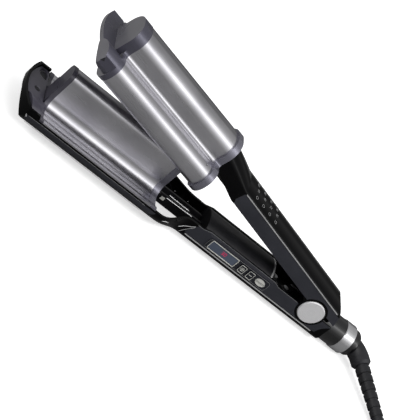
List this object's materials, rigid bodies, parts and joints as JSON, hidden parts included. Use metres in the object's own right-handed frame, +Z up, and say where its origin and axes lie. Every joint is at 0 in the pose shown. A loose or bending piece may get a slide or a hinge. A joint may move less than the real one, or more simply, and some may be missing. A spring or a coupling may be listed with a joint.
{
  "type": "hair waver",
  "caption": "Deep hair waver with two sprung arms: a ridged lower plate, a humped upper barrel, press keys and a swivel cord.",
  "frame": {"origin": "middle of the arms' bounding box in plan, on the surface that the waver lies on; the cord is left out", "axes": "+X from the tips towards the cord, +Y from the side with the controls to the back, +Z up from the surface"},
  "size_m": [0.5186, 0.141, 0.1055],
  "materials": {
    "plate_metal": "satin",
    "tip_plastic": "satin",
    "black_gloss": "gloss",
    "slate_satin": "satin",
    "rim_grey": "gloss",
    "silver_trim": "polished",
    "cap_silver": "satin",
    "navy_gloss": "gloss",
    "display_glass": "gloss",
    "steel": "plain",
    "heater_alloy": "plain",
    "ceramic": "matt",
    "frame_plastic": "matt",
    "board_green": "satin",
    "relief_rubber": "satin",
    "cord_black": "satin",
    "pin_brass": "nickel plated"
  },
  "bodies": {
    "lower_arm": {"lower_casing": "black_gloss", "lower_wave_plate": "plate_metal", "lower_neck_rim": "rim_grey", "lower_tip_cap": "tip_plastic", "lower_tip_screw": "steel", "lower_heat_block": "heater_alloy", "lower_heater": "ceramic", "lower_thermistor": "ceramic", "lower_neck_bracket": "frame_plastic", "lower_inner_cover": "frame_plastic", "lower_cover_trim": "silver_trim", "lower_strip_front": "slate_satin", "lower_strip_back": "slate_satin", "lower_accent_front": "silver_trim", "lower_accent_back": "silver_trim", "lower_band_front": "slate_satin", "lower_band_back": "slate_satin", "control_bezel": "navy_gloss", "display_window": "display_glass", "display_module": "frame_plastic", "tact_switches": "frame_plastic", "control_board": "board_green", "hinge_carrier": "frame_plastic", "carrier_screws": "steel", "hinge_pin": "steel", "hinge_cap_front": "cap_silver", "hinge_cap_back": "cap_silver", "opening_spring": "steel", "cord_collar": "black_gloss", "chrome_ring": "silver_trim"},
    "upper_arm": {"upper_casing": "black_gloss", "upper_inner_cover": "frame_plastic", "upper_strip_front": "slate_satin", "upper_strip_back": "slate_satin", "upper_accent_front": "silver_trim", "upper_accent_back": "silver_trim", "upper_hinge_bridge": "frame_plastic", "upper_wave_barrel": "plate_metal", "upper_neck_rim": "rim_grey", "upper_tip_cap": "tip_plastic", "upper_heat_block": "heater_alloy", "upper_heater": "ceramic", "upper_thermistor": "ceramic", "upper_neck_cradle": "frame_plastic", "upper_screws": "steel"},
    "up_key": {"up_key": "navy_gloss"},
    "down_key": {"down_key": "navy_gloss"},
    "power_key": {"power_key": "navy_gloss"},
    "cord_swivel": {"swivel_end": "black_gloss", "strain_relief": "relief_rubber", "cord": "cord_black", "cord_coil": "cord_black", "cord_tail": "cord_black", "plug": "cord_black", "plug_pins": "pin_brass"}
  },
  "joints": [
    {"name": "arm_hinge", "type": "hinge", "parent": "lower_arm", "child": "upper_arm", "pos_m": [0.107, 0, 0.0204], "axis": [0, 1, 0], "range_deg": [-11.5, 0], "stiffness_Nm_per_rad": 0.8, "springref_deg": 25.78, "deforming": ["opening_spring"]},
    {"name": "up_key_press", "type": "slide", "parent": "lower_arm", "child": "up_key", "axis": [0, 1, 0], "range_m": [0, 0.0008], "stiffness_N_per_m": 200, "springref_m": -0.002},
    {"name": "down_key_press", "type": "slide", "parent": "lower_arm", "child": "down_key", "axis": [0, 1, 0], "range_m": [0, 0.0008], "stiffness_N_per_m": 200, "springref_m": -0.002},
    {"name": "power_key_press", "type": "slide", "parent": "lower_arm", "child": "power_key", "axis": [0, 1, 0], "range_m": [0, 0.0008], "stiffness_N_per_m": 200, "springref_m": -0.002},
    {"name": "swivel", "type": "hinge", "parent": "lower_arm", "child": "cord_swivel", "pos_m": [0.153, 0, 0.012], "axis": [1, 0, 0], "continuous": true}
  ]
}
